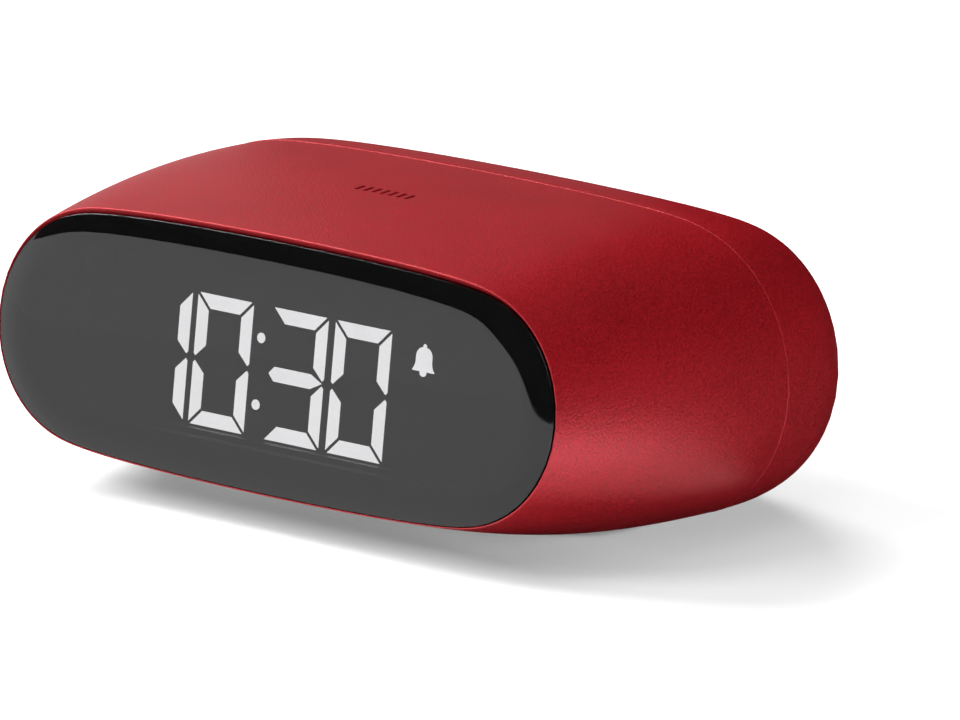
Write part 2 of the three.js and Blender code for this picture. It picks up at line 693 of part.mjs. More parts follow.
add(face, 'front_lens', frontLens(), SMOKE);
add(face, 'lens_mask_tape', maskTape(), BLACK);
add(face, 'display_frame', displayFrame(), BLACK);
add(face, 'lcd_glass', block(-32.1, 32.1, 5.9, 7.9, -11.5, 11.5), GLASS);
add(face, 'light_guide', block(-28, 28, 8.2, 10.2, -9.2, 9.2), WHITE);
add(face, 'reflector_sheet', block(-28, 28, 10.4, 10.7, -9.2, 9.2), WHITE);
add(face, 'zebra_strip_upper', block(-28, 28, 8.1, 11.2, 9.6, 11.2), RUBBER);
add(face, 'zebra_strip_lower', block(-28, 28, 8.1, 11.2, -11.2, -9.6), RUBBER);
add(face, 'display_led_left', block(-31, -29, 8.4, 11.2, -1.6, 1.6), WHITE);
add(face, 'display_led_right', block(29, 31, 8.4, 11.2, -1.6, 1.6), WHITE);
add(face, 'main_pcb', mainBoard(), BOARD);
add(face, 'pcb_screw_left', boardScrew(-1), STEEL);
add(face, 'pcb_screw_right', boardScrew(1), STEEL);
add(face, 'mcu_glob_top', globTop(), BLACK);
add(face, 'quartz_crystal', quartzCrystal(), STEEL);
add(face, 'smoothing_capacitor', capacitor(), BLACK);

add(body, 'touch_electrode', block(-10, 10, 19, 28, 15.2, 15.5), BRASS);
add(body, 'touch_pad_tape', block(-10, 10, 19, 28, 15.6, 15.9), BLACK);
add(body, 'touch_contact_strip', touchStrip(), BRASS);

add(body, 'base_plate', basePlate(), BLACK);
add(body, 'battery_tray', batteryTray(), BLACK);
add(body, 'battery_door', batteryDoor(), BLACK);
add(body, 'aaa_cell_front', cell(-1, CELL_Y[0]), CELL_SKIN);
add(body, 'aaa_cell_back', cell(1, CELL_Y[1]), CELL_SKIN);
add(body, 'contact_plate_positive', contactPlate(-1, 24.4, 32.4), STEEL);
add(body, 'contact_plate_negative', contactPlate(-1, 35.5, 43.5), STEEL);
add(body, 'contact_plate_bridge', contactPlate(1, 24.4, 43.5), STEEL);
add(body, 'contact_spring_front', contactSpring(1, CELL_Y[0]), STEEL);
add(body, 'contact_spring_back', contactSpring(-1, CELL_Y[1]), STEEL);

add(body, 'foot_front', frontStrip(), RUBBER);
[['left', -1], ['right', 1]].forEach(([word, side]) => {
  add(body, `foot_back_${word}`, backFoot(side), RUBBER);
  add(body, `base_screw_front_${word}`, baseScrew(side, SCREW_FRONT), STEEL);
  add(body, `base_screw_back_${word}`, baseScrew(side, SCREW_BACK), STEEL);
  add(body, `key_board_screw_${word}`, keyBoardScrew(side), STEEL);
});

add(body, 'key_board', keyBoard(), BOARD);
['set', 'down', 'up'].forEach((word, i) => {
  add(body, `key_${word}`, keyCap(KEYS.x[i]), BLACK);
  add(body, `key_dome_${word}`, keyDome(KEYS.x[i]), STEEL);
});
add(body, 'alarm_switch_body', block(13, 22, KEY_PCB.back + 0.1, KEY_PCB.back + 1.3, HOLLOW.z - 1.9, HOLLOW.z + 1.9), STEEL);
add(body, 'alarm_switch_knob', switchKnob(), BLACK);
add(body, 'buzzer', buzzer(), BLACK);

// Stand the clock on Z = 0, with the origin under the middle of its box.
clock.updateMatrixWorld(true);
const box = new THREE.Box3().setFromObject(clock, true);
body.position.set(0, -(box.min.y + box.max.y) / 2, -box.min.z);
clock.updateMatrixWorld(true);

export default clock;
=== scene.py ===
"""A pebble-shaped travel alarm clock with a smoked window, standing on a pale floor.

The clock's own lengths are millimetres from the middle of the front opening that holds the
window; place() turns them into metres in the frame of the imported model. Lights, cards and the
floor are given in metres in that frame.
"""

import math

import bmesh
import bpy
from mathutils import Matrix, Vector


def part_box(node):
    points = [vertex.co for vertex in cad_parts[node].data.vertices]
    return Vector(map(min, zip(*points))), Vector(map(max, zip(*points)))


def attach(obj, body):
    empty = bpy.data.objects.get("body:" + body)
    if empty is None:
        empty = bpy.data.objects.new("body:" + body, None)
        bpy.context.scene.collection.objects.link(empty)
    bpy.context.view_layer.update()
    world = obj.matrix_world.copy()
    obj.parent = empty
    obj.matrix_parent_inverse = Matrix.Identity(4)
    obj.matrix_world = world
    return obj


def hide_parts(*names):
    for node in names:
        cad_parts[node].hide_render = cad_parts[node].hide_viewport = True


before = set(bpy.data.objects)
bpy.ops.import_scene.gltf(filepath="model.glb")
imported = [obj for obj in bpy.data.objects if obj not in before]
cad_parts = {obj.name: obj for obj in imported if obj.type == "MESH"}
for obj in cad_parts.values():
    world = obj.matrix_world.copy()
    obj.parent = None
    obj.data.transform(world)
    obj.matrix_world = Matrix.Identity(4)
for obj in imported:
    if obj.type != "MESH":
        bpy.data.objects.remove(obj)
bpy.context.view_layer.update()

# ------------------------------------------------------------------ sizes, in millimetres

FACE_TILT = math.radians(7.7)
WALL = 1.8
# The height of the flat underside, and how far behind the opening its plate begins.
BASE_Z = -20.2
PLATE_FRONT = 20.0

# Each oval has half a width, its heights above and below the middle, and how much each is crowned.
LENS = dict(half_width=45.0, upper=15.7, lower=15.7, upper_crown=1.4, lower_crown=1.4)
RIM = dict(half_width=45.4, upper=16.5, lower=15.95, upper_crown=1.4, lower_crown=1.4)
SEAM = dict(half_width=50.8, upper=20.2, lower=21.3, upper_crown=1.3, lower_crown=3.2)
SEAM_DEPTH = 38.5
SEAM_DROP = 2.35
SEAM_TILT = math.radians(2.9)
# How strongly the front shell's sides, top and underside bow outwards on the way to the seam.
BULGE = dict(side=0.81, upper=1.33, lower=0.95)
# The back shell runs this far behind the seam; a higher power makes it blunter.
BACK_DEPTH = 20.9
BACK_POWER = 3.5
BACK_DROP = 0.8
BACK_SWELL = dict(side=0.018, upper=-0.109, lower=-0.07)

# The clock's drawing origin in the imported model's frame.
plate_lo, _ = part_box("base_plate")
ORIGIN = Vector((0.0, plate_lo.y * 1000 - PLATE_FRONT, plate_lo.z * 1000 - BASE_Z))


def place(x, y, z):
    return Vector((x + ORIGIN.x, y + ORIGIN.y, z + ORIGIN.z)) / 1000


def face_point(x, depth, height):
    """A point given across the front opening, behind its plane and up along it."""
    y = depth * math.cos(FACE_TILT) + height * math.sin(FACE_TILT)
    z = -depth * math.sin(FACE_TILT) + height * math.cos(FACE_TILT)
    return place(x, y, z)


# ------------------------------------------------------------------ the body's skin

# Directions round the oval: how many, how much they crowd where it is nearly flat, and how far
# the spread is even and how far crowded.
DIRECTION_COUNT = 288
CROWDING = 15.0
EVEN_SHARE = 0.45
CROWDED_SHARE = 0.55


def directions(count):
    """Outward directions round the oval, closer together where it is nearly flat."""
    angles = []
    quarter = count // 4
    for i in range(quarter):
        s = i / quarter
        crowded = math.atan(CROWDING * math.tan(s * math.pi / 2))
        angles.append(EVEN_SHARE * s * math.pi / 2 + CROWDED_SHARE * crowded)
    half = angles + [math.pi / 2] + [math.pi - a for a in reversed(angles[1:])]
    return half + [a + math.pi for a in half]


def oval_point(oval, inset, angle):
    """The point of an oval, drawn in by inset, where its skin faces the given direction."""
    above = math.sin(angle) >= 0
    height = oval["upper"] if above else oval["lower"]
    crown = oval["upper_crown"] if above else oval["lower_crown"]
    radius = height - crown
    reach = oval["half_width"] - radius
    c, s = math.cos(angle), math.sin(angle)
    across = math.hypot(reach * c, crown * s)
    turn = (crown * crown - reach * reach) * c * s / across
    out = across + radius - inset
    return out * c - turn * s, out * s + turn * c


def section(oval, inset, tilt, y, z, angles):
    """A ring of points round an oval that is leant back by tilt and moved by (y, z)."""
    ring = []
    for angle in angles:
        px, pz = oval_point(oval, inset, angle)
        ring.append((px, y + pz * math.sin(tilt), z + pz * math.cos(tilt)))
    return ring


def mix(a, b, t):
    return a + (b - a) * t


def grow(along, bulge):
    """From 0 to 1 as along does, running ahead of it on the way by as much as bulge says."""
    return along + bulge * along * (1 - along)


def front_section(along, inset, angles):
    """The skin of the front shell: along is 0 at the rim and 1 at the seam."""
    oval = dict(
        half_width=mix(RIM["half_width"], SEAM["half_width"], grow(along, BULGE["side"])),
        upper=mix(RIM["upper"], SEAM["upper"], grow(along, BULGE["upper"])),
        lower=mix(RIM["lower"], SEAM["lower"], grow(along, BULGE["lower"])),
        upper_crown=mix(RIM["upper_crown"], SEAM["upper_crown"], along),
        lower_crown=mix(RIM["lower_crown"], SEAM["lower_crown"], along),
    )
    tilt = mix(FACE_TILT, SEAM_TILT, along)
    return section(oval, inset, tilt, SEAM_DEPTH * along, -SEAM_DROP * along, angles)


def back_section(along, inset, angles):
    """The skin of the back shell: along is 0 at the seam and 1 at the rearmost point."""
    shrink = (1 - along ** BACK_POWER) ** (1 / BACK_POWER)
    oval = dict(
        half_width=(SEAM["half_width"] - inset) * (1 + BACK_SWELL["side"] * along) * shrink,
        upper=(SEAM["upper"] - inset) * (1 + BACK_SWELL["upper"] * along) * shrink,
        lower=(SEAM["lower"] - inset) * (1 + BACK_SWELL["lower"] * along) * shrink,
        upper_crown=SEAM["upper_crown"] * shrink,
        lower_crown=SEAM["lower_crown"] * shrink,
    )
    y = SEAM_DEPTH + (BACK_DEPTH - inset) * along * math.cos(SEAM_TILT)
    return section(oval, 0.0, SEAM_TILT, y, -SEAM_DROP - BACK_DROP * along, angles)


def face_section(oval, inset, depth, angles):
    """A ring that lies in the plane of the opening, or at a depth behind it."""
    y = depth * math.cos(FACE_TILT)
    z = -depth * math.sin(FACE_TILT)
    return section(oval, inset, FACE_TILT, y, z, angles)


def shifted(ring, y):
    return [(px, py + y, pz) for px, py, pz in ring]


def flatten(ring, level, soft):
    """Raises everything below a level onto it, with a soft edge."""
    out = []
    for px, py, pz in ring:
        blend = max(soft - abs(pz - level), 0.0) / soft
        out.append((px, py, max(pz, level) + blend * blend * soft / 4))
    return out


# ------------------------------------------------------------------ mesh helpers

def new_object(name, mesh):
    piece = bpy.data.objects.new(name, mesh)
    bpy.context.scene.collection.objects.link(piece)
    return piece


def loft(name, rings, closed=False):
    """A skin through rings that run front to back; closed joins the last ring to the first."""
    count = len(rings[0])
    bm = bmesh.new()
    rows = [[bm.verts.new(place(*point)) for point in ring] for ring in rings]
    pairs = list(zip(rows, rows[1:]))
    if closed:
        pairs.append((rows[-1], rows[0]))
    for front, back in pairs:
        for j in range(count):
            k = (j + 1) % count
            bm.faces.new((front[j], back[j], back[k], front[k]))
    if not closed:
        bm.faces.new(rows[0])
        bm.faces.new(list(reversed(rows[-1])))
    bmesh.ops.recalc_face_normals(bm, faces=bm.faces)
    if bm.calc_volume(signed=True) < 0:
        bmesh.ops.reverse_faces(bm, faces=bm.faces)
    mesh = bpy.data.meshes.new(name)
    bm.to_mesh(mesh)
    bm.free()
    return new_object(name, mesh)


def smooth(piece, degrees=35):
    """Shades a piece smooth, keeping edges sharper than the given angle."""
    bm = bmesh.new()
    bm.from_mesh(piece.data)
    limit = math.radians(degrees)
    for face in bm.faces:
        face.smooth = True
    for edge in bm.edges:
        edge.smooth = len(edge.link_faces) != 2 or edge.calc_face_angle(0.0) < limit
    bm.to_mesh(piece.data)
    bm.free()


def rounded_rectangle(half_width, half_height, corner, segments=12):
    """A closed outline, as (across, up) pairs."""
    points = []
    for quarter, (sx, sy) in enumerate([(1, 1), (-1, 1), (-1, -1), (1, -1)]):
        for i in range(segments + 1):
            turn = math.pi / 2 * (quarter + i / segments)
            points.append((
                sx * (half_width - corner) + corner * math.cos(turn),
                sy * (half_height - corner) + corner * math.sin(turn),
            ))
    return points


def circle(radius, segments=48):
    turns = [2 * math.pi * i / segments for i in range(segments)]
    return [(radius * math.cos(turn), radius * math.sin(turn)) for turn in turns]


def level(across, up, along):
    """An outline seen from above, at a height."""
    return across, up, along


def upright(across, up, along):
    """An outline seen from behind or in front, at a depth."""
    return across, along, up


def sideways(across, up, along):
    """An outline seen from the side, at a distance to the right."""
    return along, across, up


def ring_at(outline, middle, along, way):
    return [way(middle[0] + px, middle[1] + py, along) for px, py in outline]


def quarter_turns(steps):
    """Turns from 0 to a quarter of a circle."""
    return [math.pi / 2 * i / steps for i in range(steps + 1)]


def edge_rings(outline, middle, edge, soft, way):
    """Rings round one edge of a slab: one if it is sharp, several if it is rounded over.

    soft is the rounding's radius, and negative at the far edge, where it runs the other way.
    """
    if not soft:
        return [ring_at(outline(0), middle, edge, way)]
    rings = []
    for turn in quarter_turns(5):
        along = edge + soft * (1 - math.sin(turn))
        rings.append(ring_at(outline(abs(soft) * (1 - math.cos(turn))), middle, along, way))
    return rings


def slab(name, outline, middle, start, end, way, soft_start=0.0, soft_end=0.0):
    """A flat piece with rounded edges; outline(inset) gives its outline drawn in by inset."""
    first = edge_rings(outline, middle, start, soft_start, way)
    last = edge_rings(outline, middle, end, -soft_end, way)
    return loft(name, [*reversed(first), *last])


def prism(name, outline, middle, start, end, way):
    """A straight solid with sharp edges."""
    return loft(name, [ring_at(outline, middle, start, way), ring_at(outline, middle, end, way)])


def carve(piece, cutters, added=()):
    """Joins some solids to a piece, cuts the cutters out of it and throws both away."""
    cutters = [*added, *cutters]
    for cutter in cutters:
        modifier = piece.modifiers.new("cut", "BOOLEAN")
        modifier.operation = "UNION" if cutter in added else "DIFFERENCE"
        modifier.solver = "EXACT"
        modifier.object = cutter
    bpy.context.view_layer.update()
    shape = piece.evaluated_get(bpy.context.evaluated_depsgraph_get())
    mesh = bpy.data.meshes.new_from_object(shape)
    piece.modifiers.clear()
    old = piece.data
    piece.data = mesh
    bpy.data.meshes.remove(old)
    for cutter in cutters:
        bpy.data.objects.remove(cutter)


def turned(name, profile, middle, way, segments=48):
    """A round piece; the profile lists (radius, along) from one end to the other."""
    rings = [ring_at(circle(radius, segments), middle, along, way) for radius, along in profile]
    return loft(name, rings)


# ------------------------------------------------------------------ materials

def node_material(name):
    material = bpy.data.materials.new(name)
    material.use_nodes = True
    return material, material.node_tree.nodes, material.node_tree.links


def noise(nodes, links, place_socket, scale, detail=3.0, roughness=0.6):
    texture = nodes.new("ShaderNodeTexNoise")
    texture.inputs["Scale"].default_value = scale
    texture.inputs["Detail"].default_value = detail
    texture.inputs["Roughness"].default_value = roughness
    links.new(place_socket, texture.inputs["Vector"])
    return texture.outputs["Fac"]


# Most of a noise's values lie between these two, and the rest are taken as one or the other.
NOISE_LOW = 0.3
NOISE_HIGH = 0.7
# The grain runs at a slant to the clock, so that no flat face cuts along its cells.
GRAIN_TURN = (0.6, 0.35, 0.5)


def spread(nodes, links, value, low, high):
    """Maps a noise onto a range."""
    ramp = nodes.new("ShaderNodeMapRange")
    ramp.inputs["From Min"].default_value = NOISE_LOW
    ramp.inputs["From Max"].default_value = NOISE_HIGH
    ramp.inputs["To Min"].default_value = low
    ramp.inputs["To Max"].default_value = high
    links.new(value, ramp.inputs["Value"])
    return ramp.outputs["Result"]


def surface(name, color, rough, vary=0.04, metal=0.0, grain=0.0, grain_size=0.4, tone=0.06, speck=0.0):
    """A moulded or metal surface with grain, patchy gloss and a little colour variation.

    rough is its mean roughness and vary how far that goes up and down. grain is the bumps' depth
    in micrometres and grain_size their width in mm. tone is how far the colour drifts from place
    to place, and speck how far it changes from one bump to the next.
    """
    material, nodes, links = node_material(name)
    shader = nodes["Principled BSDF"]
    shader.inputs["Metallic"].default_value = metal
    turned_space = nodes.new("ShaderNodeMapping")
    turned_space.inputs["Rotation"].default_value = GRAIN_TURN
    links.new(nodes.new("ShaderNodeTexCoord").outputs["Object"], turned_space.inputs["Vector"])
    where = turned_space.outputs["Vector"]
    fine = noise(nodes, links, where, 1000 / grain_size)
    broad = noise(nodes, links, where, 90.0, 2.0)
    links.new(spread(nodes, links, fine, rough - vary, rough + vary), shader.inputs["Roughness"])
    tint = nodes.new("ShaderNodeMix")
    tint.data_type = "RGBA"
    tint.inputs["A"].default_value = (*[c * (1 - tone) for c in color], 1)
    tint.inputs["B"].default_value = (*[min(c * (1 + tone), 1) for c in color], 1)
    links.new(spread(nodes, links, broad, 0.0, 1.0), tint.inputs["Factor"])
    if speck:
        dots = nodes.new("ShaderNodeMix")
        dots.data_type = "RGBA"
        dots.blend_type = "MULTIPLY"
        dots.inputs["Factor"].default_value = 1.0
        links.new(tint.outputs["Result"], dots.inputs["A"])
        links.new(spread(nodes, links, fine, 1 - speck, 1 + speck), dots.inputs["B"])
        tint = dots
    links.new(tint.outputs["Result"], shader.inputs["Base Color"])
    if grain:
        bump = nodes.new("ShaderNodeBump")
        bump.inputs["Strength"].default_value = 1.0
        bump.inputs["Distance"].default_value = grain * 1e-6
        links.new(fine, bump.inputs["Height"])
        links.new(bump.outputs["Normal"], shader.inputs["Normal"])
    return material


RED = surface("red_plastic", (0.36, 0.0085, 0.0145), 0.36, 0.06,
              metal=0.38, grain=80, grain_size=0.3, speck=0.34)
BLACK = surface("black_plastic", (0.008, 0.008, 0.009), 0.45, 0.05, grain=5)
TAPE = surface("black_tape", (0.004, 0.004, 0.004), 0.9, 0.05, grain=2)
BASE = surface("base_plastic", (0.012, 0.012, 0.013), 0.5, 0.06, grain=18, grain_size=0.5)
LCD = surface("display_glass", (0.004, 0.0045, 0.0045), 0.12, 0.02)
WHITE = surface("white_plastic", (0.75, 0.75, 0.72), 0.45, 0.05, grain=4)
RUBBER = surface("black_rubber", (0.016, 0.015, 0.014), 0.75, 0.06, grain=12, grain_size=0.3)
BOARD = surface("circuit_board", (0.012, 0.085, 0.035), 0.4, 0.08, grain=10, grain_size=0.8, tone=0.2)
STEEL = surface("screw_steel", (0.55, 0.55, 0.56), 0.3, 0.08, metal=1.0, grain=3, grain_size=0.2)
PLATED = surface("plated_steel", (0.72, 0.72, 0.70), 0.26, 0.08, metal=1.0, grain=3, grain_size=0.2)
BRASS = surface("brass", (0.62, 0.42, 0.16), 0.32, 0.08, metal=1.0, grain=3, grain_size=0.3)
SLEEVE = surface("cell_sleeve", (0.03, 0.08, 0.15), 0.3, 0.05, grain=3, grain_size=1.0, tone=0.2)
KEY = surface("key_plastic", (0.02, 0.02, 0.022), 0.5, 0.05, grain=10, grain_size=0.3)


def lens_material():
    """Smoked clear plastic, faintly uneven in its polish."""
    material, nodes, links = node_material("smoked_window")
    shader = nodes["Principled BSDF"]
    shader.inputs["Base Color"].default_value = (0.035, 0.035, 0.036, 1)
    shader.inputs["Transmission Weight"].default_value = 1.0
    shader.inputs["IOR"].default_value = 1.45
    where = nodes.new("ShaderNodeTexCoord").outputs["Object"]
    patches = noise(nodes, links, where, 160.0, 2.0)
    links.new(spread(nodes, links, patches, 0.015, 0.03), shader.inputs["Roughness"])
    return material


def glow_material():
    """White display light, a little uneven from one figure to the next."""
    material, nodes, links = node_material("display_glow")
    shader = nodes["Principled BSDF"]
    shader.inputs["Base Color"].default_value = (0.8, 0.8, 0.8, 1)
    shader.inputs["Emission Color"].default_value = (1, 0.99, 0.98, 1)
    where = nodes.new("ShaderNodeTexCoord").outputs["Object"]
    patches = noise(nodes, links, where, 120.0, 1.0)
    links.new(spread(nodes, links, patches, 21.0, 22.0), shader.inputs["Emission Strength"])
    return material


LENS_GLASS = lens_material()
GLOW = glow_material()


def dress(piece, material, body, *nodes):
    """Gives a new piece its material, its body and the nodes it stands for."""
    piece.data.materials.clear()
    piece.data.materials.append(material)
    if nodes:
        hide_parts(*nodes)
    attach(piece, body)
    return piece


# ------------------------------------------------------------------ the two shells

DIRECTIONS = directions(DIRECTION_COUNT)
SOFT_EDGE = 1.6
SEAM_GAP = 0.03
SEAM_ROUND = 0.12
# The rear shell stands this much proud of the front one.
SEAM_STEP = 0.08
RIM_ROUND = 0.15
SEAT_GAP = 0.05
# The middle of the window stands this much in front of the rim.
LENS_PROUD = 0.62
# The seat's depth behind the rim; the hole in its floor runs from there to HOLE_BACK.
SEAT_DEPTH = 2.3
HOLE_BACK = 3.9
SEAT_STEPS = (SEAT_DEPTH, 1.4, 0.5)
# The skin's rings: how many, how near the rim the first is, and where those inside the wall end.
SKIN_STEPS = 56
SKIN_START = 0.12
INNER_STEPS = 24
INNER_END = 0.1
BACK_STEPS = 44
BACK_CROWDING = 1.35
# The least distance from the seam to the next ring behind it, outside and inside.
OUTER_CLEAR = 0.05
INNER_CLEAR = 0.3
# Rectangles are half a width, half a height and a corner's radius.
WINDOW_HOLE = (33.0, 10.8, 2.0)
BLACK_AREA = dict(half_width=35.0, half_height=12.5, front=2.2, back=4.0)

# The touch area's marks.
MARKS = 7
MARK_Y = 21.7
MARK_PITCH = 1.35
MARK_WIDTH = 0.6
MARK_LENGTH = 1.9
MARK_TOP = 18.35
MARK_DEPTH = 0.3

# The opening for the base plate, and the seat of the front rubber strip.
PLATE_MIDDLE = 34.25
PLATE_HOLE = (33.75, 14.5, 10.25)
PLATE_HOLE_HEIGHT = 4.7
STRIP_Y = 17.8
STRIP_SEAT = (12.2, 1.6, 1.55)
SEAT_RISE = 0.7
# Cutters that go into the shells from below start here.
CUT_START = BASE_Z - 5

# The raised pad on the back, with a hollow in it that holds the keys and the alarm switch.
PAD = (25.0, 6.8, 6.0)
PAD_DEPTHS = (55.0, 58.2)
HOLLOW = (22.5, 5.0, 4.6)
HOLLOW_Z = -2.8
HOLLOW_FLOOR = 56.8
KEY_X = (-13.0, -3.0, 7.0)
KEY_HOLE_RADIUS = 3.25
SLOT = (3.3, 1.8, 0.5)
SLOT_X = 17.5
CONTROL_CUT = (50.0, 62.0)
# Sound holes: one with four round it.
SOUND_MIDDLE = (-36.0, -3.0)
SOUND_RADIUS = 0.7
SOUND_STEP = 2.4
SOUND_CUT = (45.0, 70.0)


def reach_of_rectangle(half_width, half_height, corner, angle):
    """How far a rounded rectangle's outline is from its middle in one direction."""
    c, s = abs(math.cos(angle)), abs(math.sin(angle))
    reach = min(half_width / max(c, 1e-9), half_height / max(s, 1e-9))
    mx, my = half_width - corner, half_height - corner
    if reach * c > mx and reach * s > my:
        along = mx * c + my * s
        reach = along + math.sqrt(along * along - (mx * mx + my * my - corner * corner))
    return reach


def window_ring(depth):
    """A ring round the hole behind the window, with a point for each direction of the oval."""
    ring = []
    for angle in DIRECTIONS:
        px, pz = oval_point(LENS, 0, angle)
        turn = math.atan2(pz, px)
        reach = reach_of_rectangle(*WINDOW_HOLE, turn)
        across, up = reach * math.cos(turn), reach * math.sin(turn)
        ring.append((
            across,
            depth * math.cos(FACE_TILT) + up * math.sin(FACE_TILT),
            -depth * math.sin(FACE_TILT) + up * math.cos(FACE_TILT),
        ))
    return ring


def eased(count):
    """From 0 to 1, closer together at both ends."""
    return [0.5 - 0.5 * math.cos(math.pi * i / count) for i in range(count + 1)]


def front_shell():
    """One closed skin: out of the seat, over the rim, back to the seam and forward inside the wall."""
    seat = [face_section(LENS, -SEAT_GAP, depth, DIRECTIONS) for depth in SEAT_STEPS]
    rim = []
    for i in range(8):
        turn = math.pi / 2 * (1 - i / 7)
        inset = RIM_ROUND * (1 - math.cos(turn))
        depth = RIM_ROUND * (1 - math.sin(turn))
        rim.append(front_section(depth / SEAM_DEPTH, inset, DIRECTIONS))
    start = (RIM_ROUND + SKIN_START) / SEAM_DEPTH
    outside = [front_section(mix(start, 1.0, t), 0.0, DIRECTIONS) for t in eased(SKIN_STEPS)[:-3]]
    outside.append(shifted(front_section(1.0, 0.0, DIRECTIONS), -SEAM_GAP))
    skin = [flatten(ring, BASE_Z, SOFT_EDGE) for ring in outside]
    inside = [shifted(front_section(1.0, WALL, DIRECTIONS), -SEAM_GAP)]
    for t in reversed(eased(INNER_STEPS)[:-1]):
        inside.append(front_section(mix(INNER_END, 1.0, t), WALL, DIRECTIONS))
    inner = [flatten(ring, BASE_Z + WALL, SOFT_EDGE) for ring in inside]
    rings = [window_ring(SEAT_DEPTH)] + seat + rim + skin + inner + [window_ring(HOLE_BACK)]
    return loft("shell_front", rings, closed=True)


def back_turns():
    """Turns from the seam to the rearmost point, closer together towards the end."""
    steps = range(1, BACK_STEPS)
    return [math.pi / 2 * (1 - (1 - i / BACK_STEPS) ** BACK_CROWDING) for i in steps]


def rear_shell():
    """A skin that starts inside at the rearmost point, turns over at the seam and closes behind."""
    alongs = [math.sin(turn) ** (2 / BACK_POWER) for turn in back_turns()]
    seam = []
    for turn in quarter_turns(5):
        inset = SEAM_ROUND * (1 - math.sin(turn)) - SEAM_STEP
        seam.append(shifted(front_section(1.0, inset, DIRECTIONS), SEAM_ROUND * (1 - math.cos(turn))))
    outer = [back_section(along, -SEAM_STEP, DIRECTIONS) for along in alongs]
    outer = [ring for ring in outer if ring[0][1] > seam[-1][0][1] + OUTER_CLEAR]
    inner = [back_section(along, WALL, DIRECTIONS) for along in alongs]
    inner = [ring for ring in inner if ring[0][1] > seam[0][0][1] + INNER_CLEAR]
    inside = [flatten(ring, BASE_Z + WALL, SOFT_EDGE) for ring in reversed(inner)]
    inside.append(flatten(front_section(1.0, WALL, DIRECTIONS), BASE_Z + WALL, SOFT_EDGE))
    skin = [flatten(ring, BASE_Z, SOFT_EDGE) for ring in seam + outer]
    return loft("shell_rear", inside + skin)


def blacken_well(shell):
    """The floor of the window's seat near its hole, and the hole's wall, are masked in black."""
    shell.data.materials.append(TAPE)
    origin = place(0, 0, 0)
    for face in shell.data.polygons:
        middle = (face.center - origin) * 1000
        up = middle.y * math.sin(FACE_TILT) + middle.z * math.cos(FACE_TILT)
        depth = middle.y * math.cos(FACE_TILT) - middle.z * math.sin(FACE_TILT)
        within = abs(middle.x) < BLACK_AREA["half_width"] and abs(up) < BLACK_AREA["half_height"]
        if within and BLACK_AREA["front"] < depth < BLACK_AREA["back"]:
            face.material_index = 1


def touch_marks():
    """A short row of shallow bars marks the touch area on top."""
    outline = rounded_rectangle(MARK_WIDTH / 2, MARK_LENGTH / 2, 0.15, 5)
    marks = []
    for i in range(MARKS):
        x = (i - (MARKS - 1) / 2) * MARK_PITCH
        marks.append(prism("mark", outline, (x, MARK_Y), MARK_TOP - MARK_DEPTH, MARK_TOP + 2, level))
    return marks


def plate_hole():
    outline = rounded_rectangle(*PLATE_HOLE, 24)
    return prism("hole", outline, (0, PLATE_MIDDLE), CUT_START, BASE_Z + PLATE_HOLE_HEIGHT, level)


def dress_shell(shell, node):
    """Finishes a shell, and keeps its red out of the floor's own light, so the shadow stays grey."""
    smooth(shell)
    dress(shell, RED, "clock_body", node)
    shell.visible_diffuse = False


def make_front_shell():
    front = front_shell()
    outline = rounded_rectangle(*STRIP_SEAT, 12)
    strip = prism("seat", outline, (0, STRIP_Y), CUT_START, BASE_Z + SEAT_RISE, level)
    carve(front, [*touch_marks(), plate_hole(), strip])
    dress_shell(front, "main_housing")
    blacken_well(front)


def make_rear_shell():
    rear = rear_shell()
    pad = prism("pad", rounded_rectangle(*PAD), (0, HOLLOW_Z), *PAD_DEPTHS, upright)
    cuts = [
        plate_hole(),
        prism("hollow", rounded_rectangle(*HOLLOW, 20), (0, HOLLOW_Z), HOLLOW_FLOOR, 70.0, upright),
        prism("slot", rounded_rectangle(*SLOT, 5), (SLOT_X, HOLLOW_Z), *CONTROL_CUT, upright),
    ]
    for x in KEY_X:
        cuts.append(prism("hole", circle(KEY_HOLE_RADIUS, 64), (x, HOLLOW_Z), *CONTROL_CUT, upright))
    for side, up in ((0, 0), (1, 0), (-1, 0), (0, 1), (0, -1)):
        middle = (SOUND_MIDDLE[0] + side * SOUND_STEP, SOUND_MIDDLE[1] + up * SOUND_STEP)
        cuts.append(prism("hole", circle(SOUND_RADIUS, 32), middle, *SOUND_CUT, upright))
    carve(rear, cuts, added=[pad])
    dress_shell(rear, "rear_cover")


make_front_shell()
make_rear_shell()


# ------------------------------------------------------------------ the window

# The window's front rolls off towards its edge: from this far in, and by this much per square
# millimetre, down to a small rounding at the edge itself.
EDGE_ROLL = 4.3
ROLL_RATE = 0.03
EDGE_ROUND = 0.12
LENS_BACK = 1.8


def edge_dip(inset):
    return ROLL_RATE * (EDGE_ROLL - inset) ** 2


def make_window():
    """Rings from the middle of the back, over the edge, to the middle of the front."""
    profile = []
    for turn in reversed(quarter_turns(6)):
        inset = EDGE_ROUND * (1 - math.sin(turn))
        profile.append((inset, edge_dip(EDGE_ROUND) + EDGE_ROUND * (1 - math.cos(turn))))
    for i in range(1, 13):
        inset = mix(EDGE_ROUND, EDGE_ROLL, i / 12)
        profile.append((inset, edge_dip(inset)))
    profile += [(4.6, 0.0), (7.0, 0.0)]
    front = [(inset, depth - LENS_PROUD) for inset, depth in profile]
    back = [(7.0, LENS_BACK), (0.2, LENS_BACK)]
    rings = [face_section(LENS, inset, depth, DIRECTIONS) for inset, depth in back + front]
    lens = loft("window", rings)
    smooth(lens)
    dress(lens, LENS_GLASS, "clock_body", "front_lens")


make_window()


# ------------------------------------------------------------------ underside

